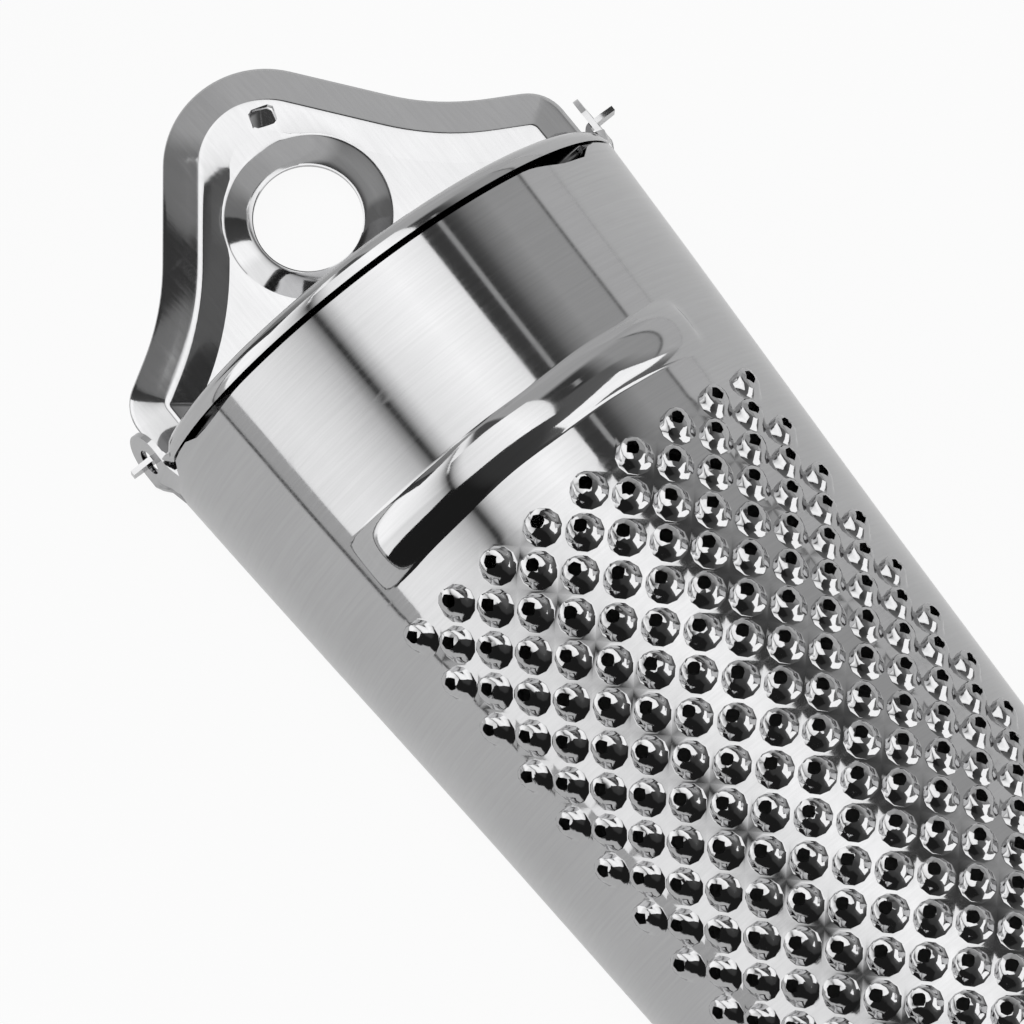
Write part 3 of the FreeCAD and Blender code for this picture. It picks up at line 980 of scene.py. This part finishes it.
# The flip lid: a half disc with a turned skirt, and an ear at each side.
lidSizes = {
    "radius": 19.5,
    "edgeBend": 1.25,
    "skirtDepth": 1.5,
    "skirtEnd": 79.0,
    "skirtBlend": (2.5, 0.5),
    "burr": 0.05,
    "faceRows": (0, 0.2, 0.4, 0.6, 0.74, 0.8, 0.85, 0.9, 0.93),
    "earWidth": 1.5,
    "earReach": 1.45,
    "earRoot": (0.9, 0.2),
    "earBend": 0.35,
    "earRun": 1.2,
    "earTip": 0.8,
    "runGap": 0.34,
}


def makeLid():
    radius = lidSizes["radius"]
    bend = lidSizes["edgeBend"]
    lugFace = radiusAt(rimDrop) + lugSizes["spread"]
    hingeHalf = lugFace - wall - lidSizes["runGap"]
    pivotX = lidTop - lugSizes["pivotRise"]
    pivotZ = lugSizes["pivotHeight"]
    build = newBuild()

    def place(x, reach, turn):
        return Vector((x, reach * sin(turn), centreHeight + reach * cos(turn)))

    rows = []
    skirtEnd = lidSizes["skirtEnd"]
    before, after = lidSizes["skirtBlend"]
    for degree in range(-90, 91, 2):
        turn = radians(degree)
        skirted = 1 - smoothStep(skirtEnd - before, skirtEnd + after, abs(degree))
        edge = radius
        if abs(degree) > skirtEnd:
            above = max(0.0, centreHeight + radius * cos(turn) - pivotZ)
            edge = min(radius, (hingeHalf - lugSizes["lean"] * above) / abs(sin(turn)))
        row = [(place(lidTop, edge * share, turn), place(lidTop + wall, edge * share, turn))
               for share in lidSizes["faceRows"]]
        start = edge - bend
        for step in range(edgeSteps + 1):
            bent = radians(90 * step / edgeSteps) * skirted
            along = start + (1 - skirted) * bend * step / edgeSteps
            row.append(tuple(place(lidTop + bend - reach * cos(bent),
                                   along + reach * sin(bent), turn)
                             for reach in (bend, bend - wall)))
        bentEnd = row[-1]
        for share in (0.5, 0.94, 1.0):
            depth = (lidSizes["skirtDepth"] - bend) * share * skirted
            turned = lidSizes["burr"] if share == 1.0 else 0.0
            row.append((bentEnd[0] + Vector((depth, 0, 0)) - turned * skirted
                        * Vector((0, sin(turn), cos(turn))),
                        bentEnd[1] + Vector((depth, 0, 0))))
        rows.append(row)
    addEdgedSheet(build, rows, (-1,))

    half = lidSizes["earWidth"] / 2
    middleY = hingeHalf - wall / 2
    bend = lidSizes["earBend"]
    inFace, above = lidSizes["earRoot"]
    path = [(lidTop + wall * inFace, middleY), (lidTop - above, middleY)]
    for step in range(earSteps + 1):
        turn = radians(90 * step / earSteps)
        path.append((pivotX + bend - bend * sin(turn), middleY + bend - bend * cos(turn)))
    path += [(pivotX, middleY + lidSizes["earRun"]), (pivotX, lugFace + lidSizes["earReach"])]
    for side in (-1, 1):
        rows = []
        for index, (x, y) in enumerate(path):
            run = runAt(path, index)
            width = half * (lidSizes["earTip"] if index == len(path) - 1 else 1.0)
            rows.append([tuple(Vector((x + sign * run.y * wall / 2,
                                       side * (y - sign * run.x * wall / 2),
                                       pivotZ + share * width)) for sign in (-1, 1))
                         for share in (-1, -0.8, 0, 0.8, 1)])
        addEdgedSheet(build, rows, (0, -1))
    weld(toBmesh(build), "flipLid", "lid", "flip_lid", lidSteel, 30.0)


makeLid()


# The compartment's floor: a half disc seated under the rib, with a turned skirt.
floorSizes = {
    "drop": 16.8,
    "bottom": 0.9,
    "radius": 18.1,
    "profile": [(-0.2, 0.0), (-0.2, 0.3), (-0.2, 0.6), (-0.2, 0.84), (-0.25, 0.88), (-0.55, 0.91),
                (-0.75, 0.94), (-0.62, 0.975), (-0.2, 0.995), (0.3, 1.0), (1.2, 0.998),
                (2.2, 0.995)],
}


def makeFloor():
    x = lidTop + floorSizes["drop"]
    bottom = floorSizes["bottom"]
    rise = centreHeight - bottom
    profile = floorSizes["profile"]
    build = newBuild()
    rows = []
    for degree in range(-90, 91, 3):
        turn = radians(degree)
        reach = rise * cos(turn) + sqrt(
            floorSizes["radius"] ** 2 - (rise * sin(turn)) ** 2)
        row = []
        for index, (along, share) in enumerate(profile):
            run = runAt(profile, index, reach)
            outer = (x + along, share * reach)
            inner = (x + along + run.y * wall, share * reach - run.x * wall)
            row.append(tuple(Vector((px, r * sin(turn), bottom + max(0.0, r) * cos(turn)))
                             for px, r in (outer, inner)))
        rows.append(row)
    addEdgedSheet(build, rows, (-1,))
    weld(toBmesh(build), "compartmentFloor", "grater", "compartment_floor",
         innerSteel, 40.0)


makeFloor()


# Floor, panels, world and camera
studioSizes = {
    "floorHalf": 1500.0,
    "floorLevel": -0.02,
    "floorTone": 0.72,
    "floorGlow": 0.93,
    "floorInSteel": 0.44,
    # the floor's colour under the grater, a painted shadow
    "floorPaintedShadow": 0.12,
    "shadowInset": 0.8,
    "shadowEdges": (1.5, 2.0, 12.0),
    "darkStart": 250.0,
    "darkEnd": 470.0,
    "darkBlend": 1.05,
    "darkLevels": (0.08, 0.6),
    "background": 0.965,
}


def clearTree(owner):
    owner.use_nodes = True
    owner.node_tree.nodes.clear()
    return owner.node_tree


def toneRamp(tree, share, stops):
    # Stops are (place, level), and a ramp holds no level over 1.
    brightest = 2.0
    ramp = addNode(tree, "ShaderNodeValToRGB", {0: share})
    points = ramp.color_ramp.elements
    while len(points) < len(stops):
        points.new(0.5)
    for point, (place, level) in zip(points, stops):
        point.position = place
        point.color = (level / brightest, level / brightest, level / brightest, 1)
    return calculate(tree, "MULTIPLY", ramp.outputs[0], brightest)


def makeStudioFloor():
    half = studioSizes["floorHalf"] * mm
    level = studioSizes["floorLevel"] * mm
    mesh = bpy.data.meshes.new("studioFloor")
    mesh.from_pydata([(-half, -half, level), (half, -half, level), (half, half, level),
                      (-half, half, level)], [], [(0, 1, 2, 3)])
    studioFloor = addObject("studioFloor", mesh)
    material = bpy.data.materials.new("paleFloor")
    tree = clearTree(material)
    subtract, multiply = sums(tree, "SUBTRACT", "MULTIPLY")
    paths = addNode(tree, "ShaderNodeLightPath").outputs
    place = parts(tree, addNode(tree, "ShaderNodeTexCoord").outputs["Object"])
    inSteel = multiply(paths["Is Glossy Ray"], studioSizes["floorInSteel"])
    seen = calculate(tree, "MAXIMUM", paths["Is Camera Ray"], inSteel)
    seen = calculate(tree, "MAXIMUM", seen, paths["Is Transmission Ray"])

    # under the grater the floor's colour is darkened into a painted shadow, and it has no glow
    besideEdge, atMouth, atFoot = (size * mm for size in studioSizes["shadowEdges"])
    fromMouth = subtract(place[0], lidTop * mm)
    edge = subtract((mouthRadius - studioSizes["shadowInset"]) * mm, multiply(fromMouth, taper))
    inside = remap(tree, subtract(edge, calculate(tree, "ABSOLUTE", place[1])), 0.0, besideEdge)
    ahead = remap(tree, fromMouth, 0.0, atMouth)
    behind = remap(tree, subtract(sheetSizes["footDrop"] * mm, fromMouth), 0.0, atFoot)
    under = multiply(inside, multiply(ahead, behind))
    seen = multiply(seen, subtract(1.0, under))
    # painted shadow: the floor's colour darkens towards the middle of the ground under the grater
    tone = remap(tree, under, 0.0, 1.0, studioSizes["floorTone"], studioSizes["floorPaintedShadow"])
    matt = addNode(tree, "ShaderNodeBsdfDiffuse", {"Color": tone})
    mix = mixShaders(tree, multiply(seen, studioSizes["floorGlow"]), matt,
                     addNode(tree, "ShaderNodeEmission"))

    # a dark table edge far to the left, which only the steel shows
    away = multiply(place[1], -1.0)
    start, end = studioSizes["darkStart"] * mm, studioSizes["darkEnd"] * mm
    blend = studioSizes["darkBlend"]
    far = addNode(tree, "ShaderNodeEmission", {
        "Strength": remap(tree, away, end, end * blend, *studioSizes["darkLevels"])})
    beyond = multiply(paths["Is Glossy Ray"], remap(tree, away, start, start * blend))
    addNode(tree, "ShaderNodeOutputMaterial", {0: mixShaders(tree, beyond, mix, far).outputs[0]})
    mesh.materials.append(material)


def makePanel(name, corners, alongLevels, acrossLevels):
    # A studio panel with its levels along its first side and across it.
    mesh = bpy.data.meshes.new(name)
    mesh.from_pydata([Vector(corner) * mm for corner in corners], [], [(0, 1, 2, 3)])
    places = mesh.uv_layers.new(name="panel")
    for loop, place in enumerate([(0, 0), (1, 0), (1, 1), (0, 1)]):
        places.data[loop].uv = place
    panel = addObject(name, mesh)
    material = bpy.data.materials.new(name + "Face")
    tree = clearTree(material)
    face = parts(tree, addNode(tree, "ShaderNodeUVMap", uv_map="panel").outputs[0])
    level = calculate(tree, "MULTIPLY", toneRamp(tree, face[0], alongLevels),
                      toneRamp(tree, face[1], acrossLevels))
    glow = addNode(tree, "ShaderNodeEmission", {"Strength": level})
    addNode(tree, "ShaderNodeOutputMaterial", {0: glow.outputs[0]})
    mesh.materials.append(material)
    panel.visible_camera = False


def makeWorld():
    world = bpy.data.worlds.new("studioWorld")
    bpy.context.scene.world = world
    tree = clearTree(world)
    add, subtract, multiply = sums(tree, "ADD", "SUBTRACT", "MULTIPLY")
    paths = addNode(tree, "ShaderNodeLightPath").outputs
    towardsFoot, across, up = parts(tree, addNode(tree, "ShaderNodeTexCoord").outputs["Generated"])
    turn = calculate(tree, "ARCTAN2", across, up)
    share = remap(tree, turn, -pi, pi)

    def around(stops):
        return toneRamp(tree, share, [((angle + 180) / 360, level) for angle, level in stops])

    sides = around([(-180, 0.6), (-84, 0.6), (-83, 0.05), (34, 0.07), (38.5, 0.12), (42, 0.235),
                    (45.5, 0.32), (51, 0.42), (55, 0.5), (74.2, 0.5), (74.5, 0.12), (75.6, 0.12),
                    (75.9, 0.68), (180, 0.68)])
    tabEnd = around([(-180, 0.5), (-91, 0.5), (-89, 1.5), (-24, 1.5), (-17, 0.12), (2, 0.12),
                     (7, 0.6), (180, 0.6)])
    footEnd = around([(-180, 0.02), (-26, 0.02), (-16, 0.06), (12, 0.08), (28, 0.15), (60, 0.2),
                      (180, 0.2)])
    towardsTab = remap(tree, towardsFoot, -0.5, -0.62)
    dark = multiply(remap(tree, towardsFoot, 0.04, 0.12), remap(tree, across, 0.9, 0.75))
    tone = sides
    for mask, end in ((towardsTab, tabEnd), (dark, footEnd)):
        tone = add(multiply(tone, subtract(1.0, mask)), multiply(end, mask))
    shown = addNode(tree, "ShaderNodeBackground", {"Color": tone})
    white = addNode(tree, "ShaderNodeBackground", {
        "Color": (*[studioSizes["background"]] * 3, 1)})
    mix = mixShaders(tree, paths["Is Camera Ray"], shown, white)
    addNode(tree, "ShaderNodeOutputWorld", {0: mix.outputs[0]})


makeStudioFloor()
makeWorld()
even = [(0, 1), (1, 1)]
makePanel("topPanel", [(-1100, -504, 800), (150, -504, 800), (340, 310, 800),
                       (-1100, 310, 800)], even,
          [(0, 0.1), (0.04, 0.4), (0.08, 0.72), (0.12, 0.92), (0.16, 1.13), (0.2, 1.31),
           (0.232, 1.39), (0.434, 1.55), (0.654, 1.72), (0.8, 1.62), (1, 1.42)])
makePanel("leftPanel", [(-3000, -600, 80), (60, -600, 80), (60, -600, 890), (-3000, -600, 890)],
          [(0, 1.2), (0.9, 1.2), (0.935, 1), (1, 1)],
          [(0, 1.42), (0.22, 1.42), (0.369, 1.335), (0.442, 1.27), (0.522, 1.19),
           (0.611, 1.08), (0.712, 0.93), (0.768, 0.85), (0.822, 0.7), (0.877, 0.52),
           (0.936, 0.38), (1, 0.13)])
makePanel("stripPanel", [(-260, 455, 800), (-60, 455, 800), (-60, 499, 800), (-260, 499, 800)],
          even, [(0, 0.5), (1, 0.5)])
makePanel("footPanel", [(500, 150, 150), (500, 900, 150), (500, 900, 640), (500, 170, 430)],
          even, [(0, 1.7), (1, 1.7)])
makePanel("darkFlag", [(-150, -32, 0), (-76, -32, 0), (-76, -32, 30), (-150, -32, 52)],
          [(0, 0.5), (0.45, 0.5), (0.5, 0.27), (0.69, 0.27), (0.7, 0.05), (1, 0.09)], even)
makePanel("tipPanel", [(-110, -31, 0), (-110, 90, 0), (-110, 90, 36), (-110, -31, 36)],
          [(0, 0.27), (0.06, 0.3), (0.16, 0.55), (0.3, 0.56), (0.4, 0.64), (1, 0.66)], even)

cameraData = bpy.data.cameras.new("camera")
cameraData.lens = 221.48
cameraData.clip_start = 0.01
camera = addObject("camera", cameraData)
camera.location = (0.042955, -0.071354, 0.438183)
camera.rotation_euler = (0.2262134, -0.0195570, 0.8994419)
bpy.context.scene.camera = camera
bpy.context.scene.view_settings.view_transform = "Standard"
print("studio ready")
